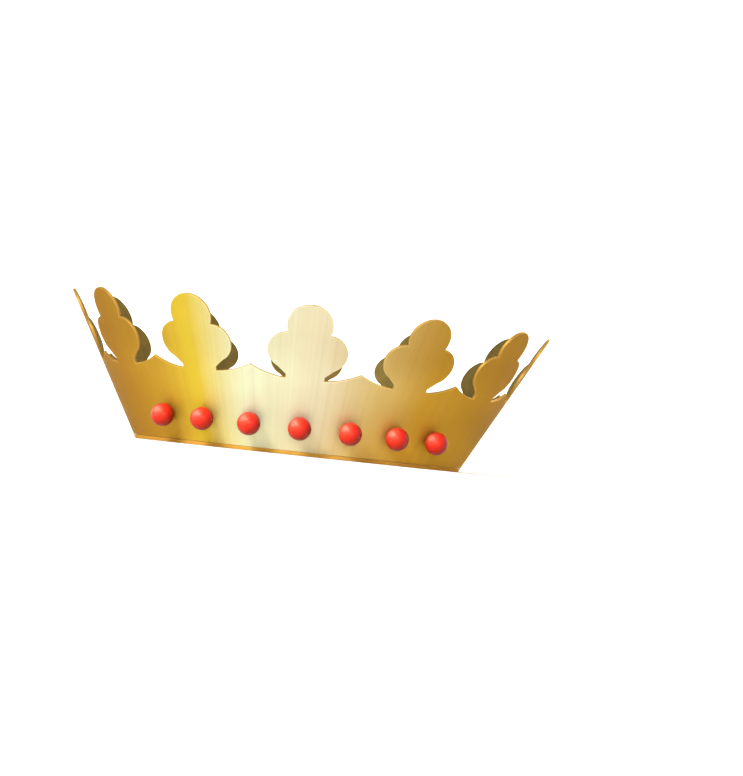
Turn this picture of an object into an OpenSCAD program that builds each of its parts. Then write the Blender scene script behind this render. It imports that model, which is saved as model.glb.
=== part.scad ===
// Jewelled crown: a flared sheet wall cut into three-lobed fleurons, on a flat base ring,
// with a row of round stones across its front. It rests on the ring's underside, at z = 0.

/* [Head opening] */
// Diameter of the round opening that the head goes into
opening_d = 187; // [180:0.5:188]

/* [Base ring] */
// Thickness of the ring
ring_t = 4.2; // [3.8:0.1:5]
// Outer diameter of the ring, at its underside
ring_d = 218.6; // [216:0.2:222]
// Height of the ring's outer edge, up to the wall's foot
ring_edge_h = 2.4; // [2:0.1:2.6]
// Chamfer on the ring's edges
ring_chamfer = 0.5; // [0.3:0.1:0.6]

/* [Wall] */
// Thickness of the wall's sheet
sheet_t = 1.8; // [1.6:0.1:2]
// Flare of the wall, in degrees from upright
flare = 29; // [28:0.5:30]
// Distance up the slope from the ring's underside to the fleurons' tips
tip_s = 109; // [108:0.5:110]

/* [Fleurons] */
// Number of fleurons round the crown
fleuron_n = 12; // [11, 12]
// Radius of a fleuron's top lobe
top_lobe_r = 15; // [14.5:0.1:15.5]
// Radius of a fleuron's side lobes
side_lobe_r = 13; // [12.6:0.1:13.4]
// Distance up the slope to the middle of the side lobes
side_lobe_s = 75; // [74.5:0.5:76]
// Width of a fleuron across both side lobes
fleuron_w = 52; // [51:0.5:54]
// Width of a fleuron's neck, between the slots
neck_w = 25; // [24:0.5:26]

/* [Crests and slots] */
// Distance up the slope to the floor of the slots under the side lobes
slot_s = 55.3; // [54.8:0.1:56]
// Width of a slot at its closed end
slot_w = 2.8; // [2.4:0.1:3.2]
// Distance up the slope to the peak of a crest between two fleurons
crest_s = 63; // [62:0.1:64]
// Radius of a crest's hollow flanks
crest_flank_r = 60; // [50:1:80]

/* [Stones] */
// Number of stones in the row
stone_n = 7; // [5, 7, 9]
// Angle round the crown from one stone to the next
stone_pitch = 15; // [14:1:18]
// Diameter of a stone
stone_d = 15.2; // [14:0.2:16]
// Distance up the slope to the row of stones
stone_s = 23.5; // [22:0.5:26]
// Distance that a stone sinks into the wall
stone_sink = 0.7; // [0.5:0.1:0.8]

/* [Posts] */
// Diameter of a post's shank
post_d = 2.4; // [2:0.1:2.8]
// Diameter of a post's head
post_head_d = 5.6; // [5:0.2:6.4]
// Thickness of a post's head
post_head_t = 0.9; // [0.7:0.1:1.2]
// Length of a post inside its stone
post_reach = 6; // [4:0.5:7]

/* [Fits] */
// Gap between two pieces that bear on each other
fit_gap = 0.1; // [0.08:0.01:0.12]

/* [Hidden] */
stone_names = [for (i = [1:stone_n]) str("stone_", i)];
post_names = [for (i = [1:stone_n]) str("stone_post_", i)];

$fn = 96;
gold = [0.80, 0.60, 0.21];
dark_gold = [0.66, 0.47, 0.15];
red = [0.90, 0.10, 0.08];

foot_r = ring_d / 2;
pitch = 360 / fleuron_n;
stone_r = stone_d / 2;
side_lobe_x = fleuron_w / 2 - side_lobe_r;

// The straight underside of a side lobe runs from the slot's end to a point just inside the lobe
under_lobe_angle = -48;
under_lobe_r = 0.96 * side_lobe_r;

// How far a cutter runs past the edge that it cuts, and how deep it goes into the crown
beyond = 2;
cut_depth = 8 * sheet_t;

// Radius of the wall's outer face at a height, and at a distance up the slope
function face_r(z) = foot_r + z * tan(flare);
function slope_r(s) = foot_r + s * sin(flare);

// A point of the wall's outer face, turned by an angle from a fleuron's middle, as it lies
// on the flat plane that touches the wall along that middle
function on_plane(angle, s) =
    [slope_r(s) * sin(angle), s - slope_r(s) * (1 - cos(angle)) * sin(flare)];

// Centre of the circle of radius r whose lower arc runs from point p to point q
function arc_centre(p, q, r) =
    let (chord = q - p, half = norm(chord) / 2)
    (p + q) / 2 + [-chord.y, chord.x] / norm(chord) * sqrt(r * r - half * half);

// Places its children on the wall's outer face: X runs round the wall, Y up the slope, Z outwards
module on_wall(angle, s = 0) {
    rotate([0, 0, angle])
        translate([0, -slope_r(s), s * cos(flare)])
            rotate([90 + flare, 0, 0])
                children();
}

// Places its children at one stone of the row
module at_stone(i) {
    on_wall((i - (stone_n + 1) / 2) * stone_pitch, stone_s) children();
}

// Outline of one fleuron: a round top lobe, two round side lobes and a neck
module fleuron_outline() {
    right = [[neck_w / 2, slot_s - 2 * beyond],
             [neck_w / 2, slot_s + slot_w],
             [side_lobe_x + under_lobe_r * cos(under_lobe_angle),
              side_lobe_s + under_lobe_r * sin(under_lobe_angle)],
             [side_lobe_x, side_lobe_s + side_lobe_r / 2]];
    left = [for (i = [len(right) - 1:-1:0]) [-right[i].x, right[i].y]];
    polygon(concat(right, [[0, tip_s - top_lobe_r]], left));
    translate([0, tip_s - top_lobe_r])
        circle(r = top_lobe_r);
    for (side = [-1, 1])
        translate([side * side_lobe_x, side_lobe_s])
            circle(r = side_lobe_r);
}

// What is cut away on one side of a fleuron, down to the hollow flank of the crest
module open_side() {
    slot_end = [neck_w / 2, slot_s];
    peak = on_plane(pitch / 2, crest_s);
    top = on_plane(pitch / 2, tip_s);
    intersection() {
        translate(arc_centre(slot_end, peak, crest_flank_r))
            circle(r = crest_flank_r);
        polygon([[-1, slot_s - beyond],
                 [peak.x + beyond, slot_s - beyond],
                 [peak.x + beyond, peak.y],
                 [top.x + beyond, top.y],
                 [top.x + beyond, tip_s + beyond],
                 [-1, tip_s + beyond]]);
    }
}

// Cutter that frees one fleuron from the sheet
module fleuron_cutter() {
    translate([0, 0, -cut_depth])
        linear_extrude(height = cut_depth + 3 * sheet_t)
            difference() {
                union() {
                    open_side();
                    mirror([1, 0]) open_side();
                }
                fleuron_outline();
            }
}

// Flared sheet before it is cut, from its foot on the ring up to just past the tips
module flared_sheet() {
    foot_z = ring_edge_h + fit_gap;
    end_s = tip_s + beyond / 2;
    end = [slope_r(end_s), end_s * cos(flare)];
    rotate([0, 0, 90 + pitch / 4])
        rotate_extrude()
            polygon([[face_r(foot_z), foot_z],
                     end,
                     end + sheet_t * [-cos(flare), sin(flare)],
                     [face_r(foot_z) - sheet_t / cos(flare), foot_z]]);
}

// The wall: one sheet, with a shallow seat and a hole for each stone
module crown_wall() {
    color(gold)
        difference() {
            flared_sheet();
            for (i = [0:fleuron_n - 1])
                on_wall(i * pitch) fleuron_cutter();
            for (i = [1:stone_n])
                at_stone(i) {
                    translate([0, 0, stone_r - stone_sink])
                        sphere(r = stone_r + fit_gap);
                    translate([0, 0, -2 * sheet_t])
                        cylinder(d = post_d + 2 * fit_gap, h = 3 * sheet_t);
                }
        }
}

// The flat ring: its upper shoulder stands just inside the wall's foot
module base_ring() {
    shoulder_gap = (sheet_t + fit_gap) / cos(flare);
    opening_r = opening_d / 2;
    color(gold)
        rotate_extrude()
            polygon([[opening_r + ring_chamfer, 0],
                     [foot_r - ring_chamfer, 0],
                     [face_r(ring_chamfer), ring_chamfer],
                     [face_r(ring_edge_h), ring_edge_h],
                     [face_r(ring_edge_h) - shoulder_gap, ring_edge_h],
                     [face_r(ring_t) - shoulder_gap, ring_t],
                     [opening_r + ring_chamfer, ring_t],
                     [opening_r, ring_t - ring_chamfer],
                     [opening_r, ring_chamfer]]);
}

// A round stone, with a blind hole for its post
module stone() {
    color(red)
        translate([0, 0, stone_r - stone_sink])
            difference() {
                sphere(r = stone_r);
                translate([0, 0, -2 * stone_r])
                    cylinder(d = post_d + 2 * fit_gap, h = stone_r + post_reach + fit_gap);
            }
}

// A post: a shank through the wall into the stone, and a flat head on the wall's inside
module stone_post() {
    color(dark_gold)
        translate([0, 0, -sheet_t - fit_gap]) {
            cylinder(d = post_d, h = sheet_t + fit_gap - stone_sink + post_reach);
            translate([0, 0, -post_head_t])
                cylinder(d = post_head_d, h = post_head_t);
        }
}

crown_wall();
base_ring();
for (i = [1:stone_n]) {
    at_stone(i) stone();
    at_stone(i) stone_post();
}
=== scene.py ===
import math

import bpy
from mathutils import Matrix, Vector
from mathutils.kdtree import KDTree


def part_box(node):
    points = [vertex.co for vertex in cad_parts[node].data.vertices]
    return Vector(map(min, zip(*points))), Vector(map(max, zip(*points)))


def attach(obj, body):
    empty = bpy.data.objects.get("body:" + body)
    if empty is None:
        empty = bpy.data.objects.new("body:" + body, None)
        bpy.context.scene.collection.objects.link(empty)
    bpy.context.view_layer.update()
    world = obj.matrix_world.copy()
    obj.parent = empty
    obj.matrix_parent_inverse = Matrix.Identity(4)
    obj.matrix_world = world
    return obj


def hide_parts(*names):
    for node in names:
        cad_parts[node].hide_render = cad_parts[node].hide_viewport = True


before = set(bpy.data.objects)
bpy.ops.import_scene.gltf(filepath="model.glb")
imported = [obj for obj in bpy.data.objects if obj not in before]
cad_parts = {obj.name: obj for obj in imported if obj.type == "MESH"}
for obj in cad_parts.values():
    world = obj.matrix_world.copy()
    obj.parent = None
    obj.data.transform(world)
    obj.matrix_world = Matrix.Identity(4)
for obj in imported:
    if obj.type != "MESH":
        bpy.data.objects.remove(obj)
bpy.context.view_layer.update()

bpy.ops.object.select_all(action="DESELECT")
bpy.context.scene.view_settings.view_transform = "Standard"


# Selecting and finishing, as at the keyboard

sameSpot = 0.00001             # points nearer than this are merged
softAngle = math.radians(40)   # steeper edges stay sharp
faceWeight = 80                # over 50, so that the large faces set the shading
selectModes = {"vertices": "VERT", "edges": "EDGE", "polygons": "FACE"}


def deselectAll():
    bpy.ops.object.select_all(action="DESELECT")


def only(piece):
    # selects one piece alone and makes it the active one
    deselectAll()
    piece.select_set(True)
    bpy.context.view_layer.objects.active = piece


def newPiece(name):
    # names the primitive that was just added
    piece = bpy.context.object
    piece.name = name
    piece.data.name = name
    return piece


def edit(piece):
    only(piece)
    bpy.ops.object.mode_set(mode="EDIT")


def leave():
    bpy.ops.object.mode_set(mode="OBJECT")


def pick(piece, kind, test):
    # in edit mode: selects the vertices, edges or polygons that pass the test
    bpy.ops.mesh.select_mode(type=selectModes[kind])
    bpy.ops.mesh.select_all(action="DESELECT")
    leave()
    for part in getattr(piece.data, kind):
        part.select = test(part)
    bpy.ops.object.mode_set(mode="EDIT")


def drawOut(rings):
    # in edit mode: extrudes the selected circle, the first ring, through the others by radius and height
    bpy.ops.mesh.select_mode(type="EDGE")
    for (radius, height), (nextRadius, nextHeight) in zip(rings, rings[1:]):
        bpy.ops.mesh.extrude_edges_move(TRANSFORM_OT_translate={"value": (0, 0, nextHeight - height)})
        share = nextRadius / radius
        bpy.ops.transform.resize(value=(share, share, 1), center_override=(0, 0, nextHeight))


def modify(piece, kind, **settings):
    bpy.context.view_layer.objects.active = piece
    modifier = piece.modifiers.new(kind.lower(), kind)
    for name, value in settings.items():
        setattr(modifier, name, value)
    bpy.ops.object.modifier_apply(modifier=modifier.name)


def smooth(piece, angle=softAngle):
    only(piece)
    bpy.ops.object.shade_smooth_by_angle(angle=angle)


def evenShading(piece):
    # keeps the narrow roundings from bending the light on the large faces beside them
    modify(piece, "WEIGHTED_NORMAL", keep_sharp=True, weight=faceWeight)


def settle(piece):
    # puts a piece's place and turn into its mesh
    only(piece)
    bpy.ops.object.transform_apply(location=True, rotation=True, scale=True)


def mount(piece, node, finish):
    piece.data.materials.clear()
    piece.data.materials.append(finish)
    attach(piece, "root")
    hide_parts(node)


# Node building: values add their own Math nodes, and a Finish adds any other node

class Value:
    def __init__(self, finish, socket):
        self.finish = finish
        self.socket = socket

    def __add__(self, other):
        return self.finish.math("ADD", self, other)

    def __sub__(self, other):
        return self.finish.math("SUBTRACT", self, other)

    def __rsub__(self, other):
        return self.finish.math("SUBTRACT", other, self)

    def __mul__(self, other):
        return self.finish.math("MULTIPLY", self, other)

    def __truediv__(self, other):
        return self.finish.math("DIVIDE", self, other)

    def __pow__(self, other):
        return self.finish.math("POWER", self, other)

    __radd__ = __add__
    __rmul__ = __mul__


class Finish:
    def __init__(self, name):
        self.material = bpy.data.materials.new(name)
        self.material.use_nodes = True
        self.nodes = self.material.node_tree.nodes
        self.links = self.material.node_tree.links
        self.nodes.clear()

    def add(self, kind, settings=None, sockets=None, output=0):
        # settings are the node's own, with a ramp's stops; sockets take values or links
        node = self.nodes.new("ShaderNode" + kind)
        for name, value in (settings or {}).items():
            if name == "stops":
                ramp = node.color_ramp.elements
                while len(ramp) < len(value):
                    ramp.new(0.5)
                for stop, (place, colour) in zip(ramp, value):
                    stop.position = place
                    stop.color = (*colour, 1.0)
            else:
                setattr(node, name, value)
        for name, value in (sockets or {}).items():
            if isinstance(value, Value):
                self.links.new(value.socket, node.inputs[name])
            else:
                node.inputs[name].default_value = value
        return Value(self, node.outputs[output]) if node.outputs else None

    def math(self, operation, *values):
        return self.add("Math", {"operation": operation}, dict(enumerate(values)))

    def within(self, value, low, high):
        # 0 below low, 1 above high, smooth between
        return self.add("MapRange", {"interpolation_type": "SMOOTHSTEP"},
                        {"Value": value, "From Min": low, "From Max": high})

    def blend(self, factor, first, second):
        # a mix of two colours
        return self.add("Mix", {"data_type": "RGBA"}, {0: factor, 6: first, 7: second}, output=2)

    def spot(self):
        return self.add("TexCoord", output="Object")

    def axes(self, vector):
        # the X, Y and Z of a vector
        parts = self.add("SeparateXYZ", {}, {"Vector": vector}).socket.node
        return [Value(self, socket) for socket in parts.outputs]

    def noise(self, vector, scale, detail, roughness):
        return self.add("TexNoise", {}, {"Vector": vector, "Scale": scale, "Detail": detail,
                                         "Roughness": roughness})

    def bump(self, height, strength, distance, under=None):
        sockets = {"Height": height, "Strength": strength, "Distance": distance}
        if under is not None:
            sockets["Normal"] = under
        return self.add("Bump", {}, sockets)

    def attribute(self, name):
        return self.add("Attribute", {"attribute_name": name}, output="Fac")

    def skin(self, **sockets):
        # the Principled shader and the output; underscores in names stand for spaces
        named = {name.replace("_", " "): value for name, value in sockets.items()}
        shader = self.add("BsdfPrincipled", {}, named)
        self.add("OutputMaterial", {}, {"Surface": shader})
        return self.material


# Sizes in metres and radians; the rest comes from the frame

wall = {
    "footRadius": 0.1093,      # outer face, where its slope would meet the floor
    "flare": math.radians(29),
    "sheet": 0.0018,
    "fleurons": 12,
    "topLobe": 0.015,
    "sideLobe": 0.013,
    "sideLobeUp": 0.075,       # up the slope from the floor
    "width": 0.052,
    "neck": 0.025,
    "slotUp": 0.0553,
    "slotWide": 0.0028,
    "crestUp": 0.063,
    "flankRadius": 0.060,
    # the point just inside a side lobe that its straight underside runs to, seen from the lobe's middle
    "underLobe": math.radians(-48),
    "underLobeReach": 0.96,    # share of the lobe's radius
    "arcStep": 0.0008,
    "column": math.radians(1.25),          # of the grid, round the crown
    "row": 0.005,              # of the grid, up the slope
    "rims": (0.00036, 0.0004, 0.0006),     # strips left along every edge, the first for the rounding
    "seamSpare": 7,            # outline points left out beside the seam, where the corner is sharp
    "seamMerge": 0.00002,      # points nearer than this are merged where the blank's ends meet
    "rounding": 0.00030,
    "roundAngle": math.radians(50),        # only steeper edges are rounded
    "roundSteps": 4,
    "softAngle": math.radians(24),
    "wearWide": 0.0022,
}
stone = {
    "radius": 0.0076,
    "sink": 0.0007,
    "up": 0.0235,
    "pitch": math.radians(15),
    "hole": 0.0013,
    "holeDeep": 0.0061,
    "sides": 64,
    "rings": 36,               # one of them falls on the hole's edge
    "seatRings": 32,
    "paleSide": Vector((-0.55, -0.70, 0.45)).normalized(),     # where the stone's painted highlight is palest; the far side is painted in shade
}
post = {
    "shank": 0.0012,
    "head": 0.0028,
    "headThick": 0.0009,
    "headTaper": 0.86,         # share of its width that the head keeps at its back
    "length": 0.0072,
    "gap": 0.0001,             # round the post and under its head, and round the stone in its seat
    "sides": 40,
    "holeSides": 32,
    "rounding": 0.0002,
    "roundAngle": math.radians(25),        # only steeper edges are rounded
    "roundSteps": 3,
}
flareSin = math.sin(wall["flare"])
flareCos = math.cos(wall["flare"])
flareTan = math.tan(wall["flare"])
wallLow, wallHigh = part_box("crown_wall")
footUp = wallLow.z / flareCos
tipUp = (wallHigh.x - wall["footRadius"]) / flareSin
stoneNodes = sorted(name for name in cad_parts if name.startswith("stone_") and "post" not in name)


def slopeRadius(up):
    return wall["footRadius"] + up * flareSin


def onCone(angle, up):
    # a point of the wall's outer face: angle round from the front, distance up the slope
    reach = slopeRadius(up)
    return Vector((reach * math.sin(angle), -reach * math.cos(angle), up * flareCos))


# The fleurons' outline, drawn on the flat plane that touches the wall along a fleuron's middle

def fromPlane(across, up):
    # a point of that plane, pushed straight in until it meets the wall, as angle and distance up
    reach = slopeRadius(up)
    spread = flareSin ** 2 / flareCos
    fall = flareCos - spread
    depth = (math.sqrt(reach ** 2 - fall * across ** 2 / (flareCos + spread)) - reach) / fall
    outward = reach + depth * flareCos
    return math.atan2(across, outward), up - depth * flareTan


def arc(centre, radius, start, end):
    steps = max(2, math.ceil(abs(end - start) * radius / wall["arcStep"]))
    turns = [start + (end - start) * i / steps for i in range(steps + 1)]
    return [(centre[0] + radius * math.cos(t), centre[1] + radius * math.sin(t)) for t in turns]


def straight(start, end):
    # points from just past the start to the end
    steps = max(2, round(math.dist(start, end) / wall["arcStep"]))
    shares = [i / steps for i in range(1, steps + 1)]
    return [(start[0] + (end[0] - start[0]) * s, start[1] + (end[1] - start[1]) * s) for s in shares]


def angleAt(centre, point):
    return math.atan2(point[1] - centre[1], point[0] - centre[0])


def circlesMeet(first, firstRadius, second, secondRadius):
    # the outer of the two points where two circles cross
    gap = math.dist(first, second)
    along = (gap ** 2 + firstRadius ** 2 - secondRadius ** 2) / (2 * gap)
    off = math.sqrt(firstRadius ** 2 - along ** 2)
    unit = ((second[0] - first[0]) / gap, (second[1] - first[1]) / gap)
    middle = (first[0] + unit[0] * along, first[1] + unit[1] * along)
    return max((middle[0] + side * off * unit[1], middle[1] - side * off * unit[0]) for side in (-1, 1))


def lineMeets(start, through, centre, radius):
    # where a straight line first crosses a circle
    run = (through[0] - start[0], through[1] - start[1])
    back = (start[0] - centre[0], start[1] - centre[1])
    square = run[0] ** 2 + run[1] ** 2
    half = run[0] * back[0] + run[1] * back[1]
    rest = back[0] ** 2 + back[1] ** 2 - radius ** 2
    share = (-half - math.sqrt(half * half - square * rest)) / square
    return start[0] + run[0] * share, start[1] + run[1] * share


def hollowCentre(start, end, radius):
    # centre of the circle whose lower arc runs from start to end
    chord = math.dist(start, end)
    lift = math.sqrt(radius ** 2 - chord ** 2 / 4)
    return ((start[0] + end[0]) / 2 - (end[1] - start[1]) / chord * lift,
            (start[1] + end[1]) / 2 + (end[0] - start[0]) / chord * lift)


def halfOutline():
    # right half of one fleuron, from its tip down to the crest beside it
    top = (0.0, tipUp - wall["topLobe"])
    side = (wall["width"] / 2 - wall["sideLobe"], wall["sideLobeUp"])
    notch = circlesMeet(top, wall["topLobe"], side, wall["sideLobe"])
    slotTop = (wall["neck"] / 2, wall["slotUp"] + wall["slotWide"])
    slotEnd = (wall["neck"] / 2, wall["slotUp"])
    inside = wall["underLobeReach"] * wall["sideLobe"]
    under = (side[0] + inside * math.cos(wall["underLobe"]),
             side[1] + inside * math.sin(wall["underLobe"]))
    underMeets = lineMeets(slotTop, under, side, wall["sideLobe"])
    turn = math.pi / wall["fleurons"]
    crestReach = slopeRadius(wall["crestUp"])
    peak = (crestReach * math.sin(turn), wall["crestUp"] - crestReach * (1 - math.cos(turn)) * flareSin)
    flank = hollowCentre(slotEnd, peak, wall["flankRadius"])
    points = arc(top, wall["topLobe"], math.pi / 2, angleAt(top, notch))
    points += arc(side, wall["sideLobe"], angleAt(side, notch), angleAt(side, underMeets))[1:]
    points += straight(underMeets, slotTop)
    points.append((slotTop[0], (slotTop[1] + slotEnd[1]) / 2))
    points += arc(flank, wall["flankRadius"], angleAt(flank, slotEnd), angleAt(flank, peak))
    return [fromPlane(*point) for point in points]


# The wall: a flat blank is cut, gridded, rolled up, thickened and rounded

def flatBlank():
    # the whole outline laid flat, from the seam's crest over the fleurons and back along the foot
    pitch = 2 * math.pi / wall["fleurons"]
    half = halfOutline()
    crest = half[-1][1]
    first = 1 - wall["fleurons"] // 2
    thinned = half[:-wall["seamSpare"]] + half[-1:]
    outline = [(first * pitch - pitch / 2, crest)]
    for i in range(wall["fleurons"]):
        middle = (first + i) * pitch
        left = thinned if i == 0 else half
        right = thinned if i == wall["fleurons"] - 1 else half
        outline += [(middle - angle, up) for angle, up in reversed(left[1:-1])]
        outline += [(middle + angle, up) for angle, up in right]
    columns = round(2 * math.pi / wall["column"])
    rows = round((crest - footUp) / wall["row"])
    firstAngle = outline[0][0]
    lastAngle = outline[-1][0]
    seam = [crest + (footUp - crest) * i / rows for i in range(1, rows)]
    foot = [(lastAngle - 2 * math.pi * i / columns, footUp) for i in range(columns + 1)]
    border = outline + [(lastAngle, up) for up in seam] + foot
    border += [(firstAngle, up) for up in reversed(seam)]
    bpy.ops.mesh.primitive_circle_add(vertices=len(border), radius=tipUp, fill_type="NGON")
    blank = newPiece("crownWall")
    roll = slopeRadius(wall["sideLobeUp"])
    for vertex, (angle, up) in zip(blank.data.vertices, border):
        vertex.co = (angle * roll, up, 0)
    return blank, roll, columns, outline + foot


def gridBlank(blank, roll, columns):
    # leaves strips along the edges and cuts what is inside them into a grid
    edit(blank)
    bpy.ops.mesh.select_all(action="SELECT")
    for width in wall["rims"]:
        bpy.ops.mesh.inset(thickness=width, depth=0, use_boundary=True, use_even_offset=True)
    bpy.ops.mesh.hide(unselected=True)
    left = min(vertex.co.x for vertex in blank.data.vertices)
    for i in range(1, columns):
        across = left + 2 * math.pi * roll * i / columns
        bpy.ops.mesh.select_all(action="SELECT")
        bpy.ops.mesh.bisect(plane_co=(across, 0, 0), plane_no=(1, 0, 0))
    for i in range(1, int(tipUp / wall["row"])):
        bpy.ops.mesh.select_all(action="SELECT")
        bpy.ops.mesh.bisect(plane_co=(0, footUp + wall["row"] * i, 0), plane_no=(0, 1, 0))
    bpy.ops.mesh.reveal(select=False)
    leave()


def rollUp(blank, roll):
    # closes the blank to a cone, with its faces outwards
    for vertex in blank.data.vertices:
        vertex.co = onCone(vertex.co.x / roll, vertex.co.y)
    edit(blank)
    bpy.ops.mesh.select_all(action="SELECT")
    bpy.ops.mesh.remove_doubles(threshold=wall["seamMerge"])
    bpy.ops.mesh.normals_make_consistent(inside=False)
    leave()
    lowest = min(blank.data.polygons, key=lambda face: face.center.z)
    if lowest.normal.dot(Vector((lowest.center.x, lowest.center.y, 0))) < 0:
        edit(blank)
        bpy.ops.mesh.select_all(action="SELECT")
        bpy.ops.mesh.flip_normals()
        leave()


def stoneTurn(index):
    # the place and turn of one stone's own axes, Z straight out of the wall
    angle = (index - (len(stoneNodes) - 1) / 2) * stone["pitch"]
    turn = Matrix.Rotation(angle, 4, "Z") @ Matrix.Rotation(math.pi / 2 + wall["flare"], 4, "X")
    return Matrix.Translation(onCone(angle, stone["up"])) @ turn


def cutAll(blank, cutters):
    # joins one kind of cutter and takes it out of the wall
    only(cutters[0])
    for cutter in cutters:
        cutter.select_set(True)
    bpy.ops.object.join()
    cutter = newPiece("cutter")
    settle(cutter)
    deselectAll()
    modify(blank, "BOOLEAN", operation="DIFFERENCE", object=cutter, solver="MANIFOLD")
    bpy.data.objects.remove(cutter, do_unlink=True)
    edit(blank)
    bpy.ops.mesh.select_all(action="SELECT")
    bpy.ops.mesh.remove_doubles(threshold=sameSpot)
    bpy.ops.mesh.dissolve_degenerate(threshold=sameSpot)
    leave()


def cutSeats(blank):
    # the stones' shallow seats, then the posts' holes
    deselectAll()
    balls = []
    pins = []
    for index in range(len(stoneNodes)):
        axes = stoneTurn(index)
        bpy.ops.mesh.primitive_uv_sphere_add(segments=stone["sides"], ring_count=stone["seatRings"],
                                             radius=stone["radius"] + post["gap"])
        ball = bpy.context.object
        ball.matrix_world = axes @ Matrix.Translation((0, 0, stone["radius"] - stone["sink"]))
        balls.append(ball)
        bpy.ops.mesh.primitive_cylinder_add(vertices=post["holeSides"], depth=3 * wall["sheet"],
                                            radius=post["shank"] + post["gap"])
        pin = bpy.context.object
        pin.matrix_world = axes @ Matrix.Translation((0, 0, -wall["sheet"] / 2))
        pins.append(pin)
    cutAll(blank, balls)
    cutAll(blank, pins)


def markWear(blank, outline):
    # how near each point is to the cut outline: 1 on the edge, 0 away from it
    tree = KDTree(len(outline))
    for i, (angle, up) in enumerate(outline):
        tree.insert(onCone(angle, up), i)
    tree.balance()
    wear = blank.data.attributes.new("wear", "FLOAT", "POINT")
    for vertex, item in zip(blank.data.vertices, wear.data):
        gap = tree.find(vertex.co)[2]
        item.value = max(0.0, 1.0 - gap / wall["wearWide"])


def makeWall(finish):
    blank, roll, columns, outline = flatBlank()
    gridBlank(blank, roll, columns)
    rollUp(blank, roll)
    modify(blank, "SOLIDIFY", thickness=wall["sheet"], offset=-1)
    modify(blank, "BEVEL", width=wall["rounding"], segments=wall["roundSteps"], limit_method="ANGLE",
           angle_limit=wall["roundAngle"])
    cutSeats(blank)
    markWear(blank, outline)
    smooth(blank, wall["softAngle"])
    evenShading(blank)
    mount(blank, "crown_wall", finish)
    print("wall", len(blank.data.polygons), "faces")


# The ring: its section is drawn out from the opening's lower edge, corner by corner, and closed

ring = {
    "opening": 0.0935,
    "edgeHeight": 0.0024,
    "seamGap": 0.0001,
    "segments": 288,
    "rounding": 0.0006,        # of the edges round the opening and under the rim
    "fine": 0.0002,            # of the edges beside the wall
    "roundSteps": 4,
    "near": 0.00002,           # how near an edge lies to the corner that it belongs to
}


def onCircle(piece, edge, radius, height):
    ends = [piece.data.vertices[k].co for k in edge.vertices]
    return all(abs(math.hypot(end.x, end.y) - radius) < ring["near"]
               and abs(end.z - height) < ring["near"] for end in ends)


def roundCorners(piece, corners, width):
    pick(piece, "edges", lambda edge: any(onCircle(piece, edge, *corner) for corner in corners))
    bpy.ops.mesh.bevel(offset=width, segments=ring["roundSteps"], affect="EDGES")


def makeRing(finish):
    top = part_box("base_ring")[1].z
    shoulder = (wall["sheet"] + ring["seamGap"]) / flareCos
    rim = wall["footRadius"] + ring["edgeHeight"] * flareTan
    corners = [(ring["opening"], 0),
               (wall["footRadius"], 0),
               (rim, ring["edgeHeight"]),
               (rim - shoulder, ring["edgeHeight"]),
               (wall["footRadius"] + top * flareTan - shoulder, top),
               (ring["opening"], top)]
    bpy.ops.mesh.primitive_circle_add(vertices=ring["segments"], radius=ring["opening"],
                                      fill_type="NOTHING")
    piece = newPiece("baseRing")
    edit(piece)
    bpy.ops.mesh.select_all(action="SELECT")
    drawOut(corners)
    pick(piece, "vertices", lambda v: math.hypot(v.co.x, v.co.y) < ring["opening"] + ring["near"])
    bpy.ops.mesh.bridge_edge_loops()
    bpy.ops.mesh.select_all(action="SELECT")
    bpy.ops.mesh.remove_doubles(threshold=sameSpot)
    bpy.ops.mesh.normals_make_consistent(inside=False)
    roundCorners(piece, corners[2:5], ring["fine"])
    roundCorners(piece, corners[:2] + corners[5:], ring["rounding"])
    leave()
    smooth(piece)
    evenShading(piece)
    mount(piece, "base_ring", finish)
    print("ring", len(piece.data.polygons), "faces")


# Stones and their posts: one of each is modelled upright at the centre, copied and set on the wall

def row(first):
    # a piece for each place in the row, each with its own mesh
    pieces = [first]
    while len(pieces) < len(stoneNodes):
        only(first)
        bpy.ops.object.duplicate(linked=False)
        pieces.append(bpy.context.object)
    name = first.name
    for index, piece in enumerate(pieces):
        piece.name = f"{name}{index + 1}"
        piece.data.name = piece.name
        piece.matrix_world = stoneTurn(index)
        settle(piece)
    return pieces


def makeStones(finish):
    middle = stone["radius"] - stone["sink"]
    bpy.ops.mesh.primitive_uv_sphere_add(segments=stone["sides"], ring_count=stone["rings"],
                                         radius=stone["radius"], location=(0, 0, middle))
    piece = newPiece("stone")
    settle(piece)
    edit(piece)
    pick(piece, "polygons", lambda face: math.hypot(face.center.x, face.center.y) < stone["hole"]
         and face.center.z < middle)
    depth = stone["sink"] + stone["holeDeep"]
    bpy.ops.mesh.extrude_region_move(TRANSFORM_OT_translate={"value": (0, 0, depth)})
    bpy.ops.transform.resize(value=(1, 1, 0), center_override=(0, 0, stone["holeDeep"]))
    leave()
    smooth(piece)
    for index, gem in enumerate(row(piece)):
        centre = stoneTurn(index) @ Vector((0, 0, middle))
        # painted highlight and shade: 1 on the stone's pale side, 0 on the far side
        glow = gem.data.attributes.new("glow", "FLOAT", "POINT")
        for vertex, item in zip(gem.data.vertices, glow.data):
            item.value = 0.5 + 0.5 * (vertex.co - centre).normalized().dot(stone["paleSide"])
        mount(gem, stoneNodes[index], finish)
    print("stones", len(stoneNodes))


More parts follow.
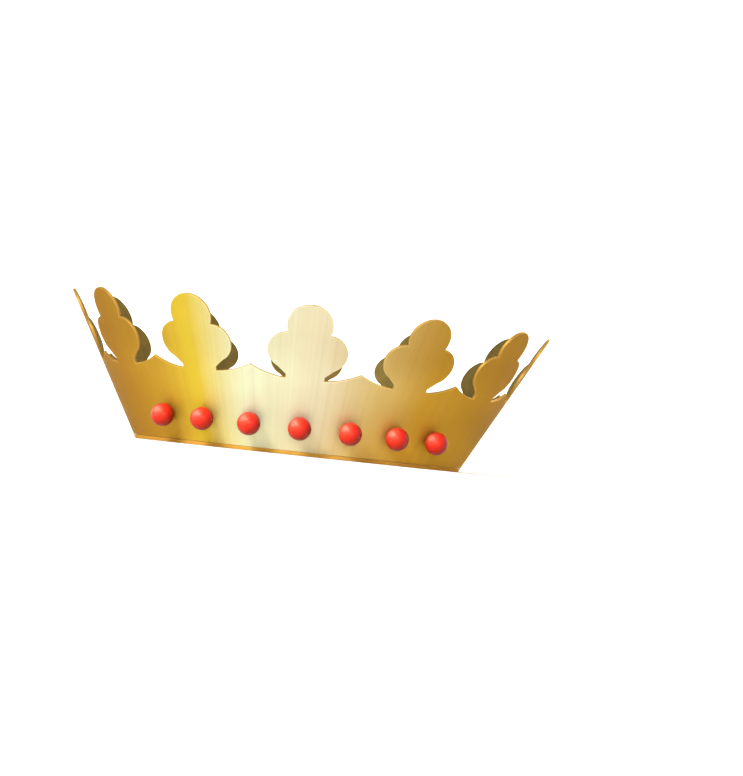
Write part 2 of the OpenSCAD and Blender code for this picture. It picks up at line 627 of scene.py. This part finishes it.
def makePosts(finish):
    bottom = -wall["sheet"] - post["gap"]
    middle = bottom + post["length"] / 2
    bpy.ops.mesh.primitive_cylinder_add(vertices=post["sides"], radius=post["shank"],
                                        depth=post["length"], location=(0, 0, middle))
    piece = newPiece("stonePost")
    settle(piece)
    edit(piece)
    pick(piece, "polygons", lambda face: face.center.z < bottom + sameSpot)
    widen = post["head"] / post["shank"]
    bpy.ops.mesh.extrude_region_move()
    bpy.ops.transform.resize(value=(widen, widen, 1), center_override=(0, 0, bottom))
    for _ in range(2):
        bpy.ops.mesh.extrude_region_move(TRANSFORM_OT_translate={"value": (0, 0, -post["headThick"] / 2)})
    taper = post["headTaper"]
    bpy.ops.transform.resize(value=(taper, taper, 1), center_override=(0, 0, bottom))
    leave()
    modify(piece, "BEVEL", width=post["rounding"], segments=post["roundSteps"], limit_method="ANGLE",
           angle_limit=post["roundAngle"])
    smooth(piece)
    for index, pin in enumerate(row(piece)):
        mount(pin, stoneNodes[index].replace("stone_", "stone_post_"), finish)
    print("posts", len(stoneNodes))


# Finishes: colours, noises as scale, detail and roughness, and shares from 0 to 1

gilt = {
    "tones": [                 # round the crown, painted highlight and shade: degrees from the front, then colour
        (-180, (0.655, 0.500, 0.150)),
        (-158, (0.600, 0.385, 0.060)),
        (-120, (0.440, 0.248, 0.027)),
        (-84, (0.340, 0.175, 0.017)),
        (-62, (0.405, 0.210, 0.019)),
        (-44, (0.510, 0.313, 0.033)),
        (-31, (0.637, 0.495, 0.040)),
        (-17, (0.659, 0.716, 0.510)),
        (5, (0.654, 0.616, 0.435)),
        (20, (0.578, 0.437, 0.155)),
        (36, (0.482, 0.275, 0.026)),
        (80, (0.355, 0.182, 0.019)),
        (122, (0.440, 0.248, 0.027)),
        (160, (0.600, 0.385, 0.060)),
        (180, (0.655, 0.500, 0.150)),
    ],
    # the warm painted light towards the ring
    "foot": (1.0, 0.62, 0.07, 1),
    # the deeper gold of the random mottle and of the painted shade
    "shade": (0.30, 0.15, 0.02, 1),
    "worn": (0.95, 0.80, 0.42, 1),
    # the cut edges, painted darker as shade
    "edge": (0.46, 0.25, 0.04, 1),
    # the inner face, painted dark as shade, with lighter stains
    "inside": (0.183, 0.134, 0.038, 1),
    "insideStain": (0.232, 0.168, 0.047, 1),
    "tint": (0.62, 0.42, 0.14, 1),         # of the reflections, most at a low angle
    "bands": (26.0, 4.0, 0.7),
    "clouds": (22.0, 3.0, 0.5),
    "stains": (60.0, 5.0, 0.6),
    "brushing": (420.0, 2.0, 0.5),
    "brushedBy": (1, 1, 14),   # stretch, so that the brushing runs round the crown
    "hammering": (9.0, 2.0, 0.5),
    "edgeDepth": (0.06, 0.20),             # share of the sheet's thickness where the cut edge begins
    "insideDepth": (0.80, 0.97),           # and where the inside does
    "footHeights": (0.004, 0.036),         # over these the foot's painted light fades out
    "footShare": 0.05,
    "footShareRight": 0.25,    # added at the right
    "fleuronHeights": (0.045, 0.072),      # over these the fleurons' painted shade comes in
    "fleuronShare": 0.12,
    "fleuronShareAside": 0.34,             # added at the sides
    "paleTurn": 0.46,          # where the painted highlight is palest, as a share of the way round from the back
    "cloudShare": 0.10,
    "bandShare": 0.10,
    "wornShare": 0.22,
    "metal": 0.55,             # low, to calm the stones' reflections beside them
    "metalBack": 0.30,         # added at the back
    "rough": 0.50,
}


def giltWall():
    f = Finish("giltWall")
    spot = f.spot()
    x, y, z = f.axes(spot)
    reach = (x * x + y * y) ** 0.5
    right = x / reach                                   # -1 at the left, 1 at the right
    back = y / reach                                    # -1 in front, 1 at the back
    outer = reach - z * flareTan - wall["footRadius"]
    depth = 0 - outer / (wall["sheet"] / flareCos)      # 0 on the outer face, 1 on the inner one
    isEdge = f.within(depth, *gilt["edgeDepth"])
    isInside = f.within(depth, *gilt["insideDepth"])

    circle = f.add("CombineXYZ", {}, {"X": right, "Y": back})
    bands = f.noise(circle, *gilt["bands"])             # faint and upright, as on rolled sheet
    clouds = f.noise(spot, *gilt["clouds"])
    stains = f.noise(spot, *gilt["stains"])
    stretched = f.add("Mapping", {}, {"Vector": spot, "Scale": gilt["brushedBy"]})
    brushing = f.noise(stretched, *gilt["brushing"])
    wear = f.attribute("wear")

    turn = f.math("ARCTAN2", x, 0 - y) / (2 * math.pi) + 0.5
    stops = [((degrees + 180) / 360, colour) for degrees, colour in gilt["tones"]]
    # painted highlight in front and at the back, painted shade at the sides
    paintedLightTone = f.add("ValToRGB", {"stops": stops}, {"Fac": turn})
    # painted light: lighter towards the ring, most at the right
    foot = gilt["footShare"] + gilt["footShareRight"] * f.within(right, -0.1, 0.6)
    foot = (1 - f.within(z, *gilt["footHeights"])) * foot
    # deeper in random clouds and bands, and painted shade up the fleurons, most at the sides
    aside = f.within(f.math("ABSOLUTE", turn - gilt["paleTurn"]), 0.05, 0.12)
    fleuronPaintedShade = gilt["fleuronShare"] + gilt["fleuronShareAside"] * aside
    shade = f.within(clouds, 0.30, 0.75) * gilt["cloudShare"]
    shade = shade + f.within(bands, 0.35, 0.65) * gilt["bandShare"]
    shade = shade + f.within(z, *gilt["fleuronHeights"]) * fleuronPaintedShade
    face = f.blend(shade, f.blend(foot, paintedLightTone, gilt["foot"]), gilt["shade"])
    rubbed = f.within(wear + 0.25 * stains, 0.85, 1.15) * gilt["wornShare"]
    # rubbed wear, then the cut edges painted darker as shade
    outside = f.blend(isEdge, f.blend(rubbed, face, gilt["worn"]), gilt["edge"])
    # the inner face painted dark as shade, mottled by lighter stains
    inside = f.blend(f.within(stains, 0.32, 0.74), gilt["inside"], gilt["insideStain"])

    rough = gilt["rough"] + 0.06 * clouds + 0.05 * brushing + 0.04 * bands + 0.16 * isInside - 0.08 * wear
    metal = gilt["metal"] + gilt["metalBack"] * f.within(back, -0.1, 0.5)
    lines = f.bump(brushing, strength=0.06, distance=0.0002)
    hammering = f.noise(spot, *gilt["hammering"])
    hammered = f.bump(hammering, strength=0.25, distance=0.0010, under=lines)
    return f.skin(Base_Color=f.blend(isInside, outside, inside), Metallic=metal, Roughness=rough,
                  Normal=hammered, Anisotropic=0.4, Anisotropic_Rotation=0.25, Specular_IOR_Level=0.03,
                  Specular_Tint=gilt["tint"], Coat_Weight=0.06, Coat_Roughness=0.3)


ringGilt = {
    "light": (0.70, 0.43, 0.090, 1),
    "dark": (0.60, 0.35, 0.070, 1),
    "clouds": (26.0, 3.0, 0.5),
    "turning": 3200.0,         # scale of the fine lines left by turning
    "rough": 0.38,
    "metal": 0.85,
}


def giltRing():
    f = Finish("giltRing")
    spot = f.spot()
    x, y = f.axes(spot)[:2]
    reach = (x * x + y * y) ** 0.5
    turning = f.add("TexNoise", {"noise_dimensions": "1D"},
                    {"W": reach, "Scale": ringGilt["turning"], "Detail": 2.0})
    clouds = f.noise(spot, *ringGilt["clouds"])
    colour = f.blend(f.within(clouds, 0.35, 0.70), ringGilt["light"], ringGilt["dark"])
    return f.skin(Base_Color=colour, Metallic=ringGilt["metal"],
                  Roughness=ringGilt["rough"] + 0.10 * clouds + 0.08 * turning,
                  Normal=f.bump(turning, strength=0.12, distance=0.0002), Specular_IOR_Level=0.1,
                  Specular_Tint=gilt["tint"])


postGilt = {
    "light": (0.66, 0.43, 0.12, 1),
    "dark": (0.42, 0.27, 0.07, 1),
    "clouds": (300.0, 3.0, 0.5),
    "rough": 0.30,
}


def giltPost():
    f = Finish("giltPost")
    clouds = f.noise(f.spot(), *postGilt["clouds"])
    colour = f.blend(f.within(clouds, 0.35, 0.65), postGilt["light"], postGilt["dark"])
    return f.skin(Base_Color=colour, Metallic=1.0, Roughness=postGilt["rough"] + 0.2 * clouds,
                  Normal=f.bump(clouds, strength=0.2, distance=0.0002))


redGlass = {
    "tones": [                 # from the painted dark side to the painted highlight: share of the way, then colour
        (0.00, (0.42, 0.010, 0.005)),
        (0.18, (0.30, 0.007, 0.003)),
        (0.34, (0.15, 0.005, 0.001)),
        (0.62, (0.43, 0.008, 0.004)),
        (0.73, (0.55, 0.011, 0.005)),
        (0.85, (0.63, 0.020, 0.008)),
        (0.96, (0.66, 0.062, 0.036)),
        (1.00, (0.65, 0.205, 0.140)),
    ],
    "vein": (0.25, 0.003, 0.002, 1),
    "tint": (1.0, 0.75, 0.5, 1),
    "veins": (120.0, 4.0, 0.6),
    "veinShare": 0.12,
    "veinShift": 0.03,         # how far the veins move the tones
    "rough": 0.30,
}


def redStone():
    f = Finish("redStone")
    veins = f.noise(f.spot(), *redGlass["veins"])
    # the painted highlight and shade across the stone, moved a little by the veins
    place = f.attribute("glow") + redGlass["veinShift"] * (veins - 0.5)
    paintedLightTone = f.add("ValToRGB", {"stops": redGlass["tones"]}, {"Fac": place})
    colour = f.blend(f.within(veins, 0.30, 0.75) * redGlass["veinShare"], paintedLightTone, redGlass["vein"])
    return f.skin(Base_Color=colour, Roughness=redGlass["rough"] + 0.14 * veins, IOR=1.5,
                  Specular_IOR_Level=0.3, Specular_Tint=redGlass["tint"], Coat_Weight=0.06,
                  Coat_Roughness=0.12)


# Floor, light and camera

stage = {
    "floorRadius": 3.6,
    "curve": 1.4,              # radius of the turn from the floor up into the backdrop all round
    "wallTop": 4.0,
    "steps": 16,
    "segments": 160,
    "softAngle": math.radians(60),
    "light": (0.955, 0.95, 0.94, 1),
    "dark": (0.93, 0.925, 0.91, 1),
    "grain": (3.0, 2.0, 0.5),
}
# lamps, with azimuth and elevation in degrees; the two washes light the backdrop
lamps = {
    "key": {"azimuth": -34, "elevation": 38, "distance": 3.0, "size": (0.8, 0.8), "power": 75.0,
            "colour": (1.0, 0.97, 0.92)},
    "front": {"azimuth": 8, "elevation": 12, "distance": 3.0, "size": (1.2, 0.8), "power": 18.0,
              "colour": (1.0, 0.97, 0.92)},
    "back": {"azimuth": 150, "elevation": 38, "distance": 3.0, "size": (1.2, 1.2), "power": 26.0},
    "wallWash": {"azimuth": 180, "elevation": 50, "distance": 3.6, "size": (3.0, 0.8), "power": 140.0,
                 "aim": (0, 5.0, 0.6)},
    "frontWash": {"azimuth": 0, "elevation": 50, "distance": 3.6, "size": (3.0, 0.8), "power": 70.0,
                  "aim": (0, -5.0, 0.6)},
}
sky = {
    "Color": (1.0, 0.99, 0.97, 1),
    "Strength": 0.42,
}
view = {
    "distance": 2.5,
    "height": 0.008,           # just above the floor
    "yaw": math.radians(1.04),
    "pitch": math.radians(0.97),
    "roll": math.radians(6.1),
    "focal": 3703.6 / 776,     # focal length over the photograph's longer side, both in its pixels
    "near": 0.01,              # what is nearer than this isn't drawn
}


def paleStage():
    f = Finish("palePaper")
    grain = f.noise(f.spot(), *stage["grain"])
    paper = f.skin(Base_Color=f.blend(grain, stage["light"], stage["dark"]), Roughness=0.9,
                   Specular_IOR_Level=0.2)
    rings = []
    for i in range(stage["steps"] + 1):
        turn = math.pi / 2 * i / stage["steps"]
        rings.append((stage["floorRadius"] + stage["curve"] * math.sin(turn),
                      stage["curve"] * (1 - math.cos(turn))))
    rings.append((rings[-1][0], stage["wallTop"]))
    bpy.ops.mesh.primitive_circle_add(vertices=stage["segments"], radius=stage["floorRadius"],
                                      fill_type="NGON")
    floor = newPiece("floor")
    edit(floor)
    bpy.ops.mesh.select_all(action="SELECT")
    drawOut(rings)
    leave()
    smooth(floor, stage["softAngle"])
    floor.data.materials.append(paper)


def lamp(name, azimuth, elevation, distance, size, power, colour=(1, 1, 1), aim=(0, 0, 0)):
    # a soft oblong light, aimed at the crown unless told otherwise; azimuth turns to the right
    turn = math.radians(azimuth)
    rise = math.radians(elevation)
    place = Vector((math.sin(turn) * math.cos(rise), -math.cos(turn) * math.cos(rise), math.sin(rise)))
    place *= distance
    bpy.ops.object.light_add(type="AREA", location=place)
    light = bpy.context.object
    light.name = name
    light.data.shape = "RECTANGLE"
    light.data.size = size[0]
    light.data.size_y = size[1]
    light.data.energy = power
    light.data.color = colour
    light.rotation_euler = (Vector(aim) - place).to_track_quat("-Z", "Y").to_euler()
    light.visible_camera = False


def studioLight():
    world = bpy.data.worlds.new("studio")
    bpy.context.scene.world = world
    world.use_nodes = True
    background = world.node_tree.nodes["Background"]
    for name, value in sky.items():
        background.inputs[name].default_value = value
    for name, values in lamps.items():
        lamp(name, **values)


def photoCamera():
    bpy.ops.object.camera_add(location=(0, -view["distance"], view["height"]))
    camera = bpy.context.object
    camera.data.lens = view["focal"] * camera.data.sensor_width
    forward = Vector((math.sin(view["yaw"]) * math.cos(view["pitch"]),
                      math.cos(view["yaw"]) * math.cos(view["pitch"]),
                      math.sin(view["pitch"])))
    level = forward.to_track_quat("-Z", "Y").to_matrix()
    camera.rotation_euler = (level @ Matrix.Rotation(view["roll"], 3, "Z")).to_euler()
    camera.data.clip_start = view["near"]
    bpy.context.scene.camera = camera


paleStage()
studioLight()
photoCamera()
print("stage, lights and camera")
makeWall(giltWall())
makeRing(giltRing())
makeStones(redStone())
makePosts(giltPost())
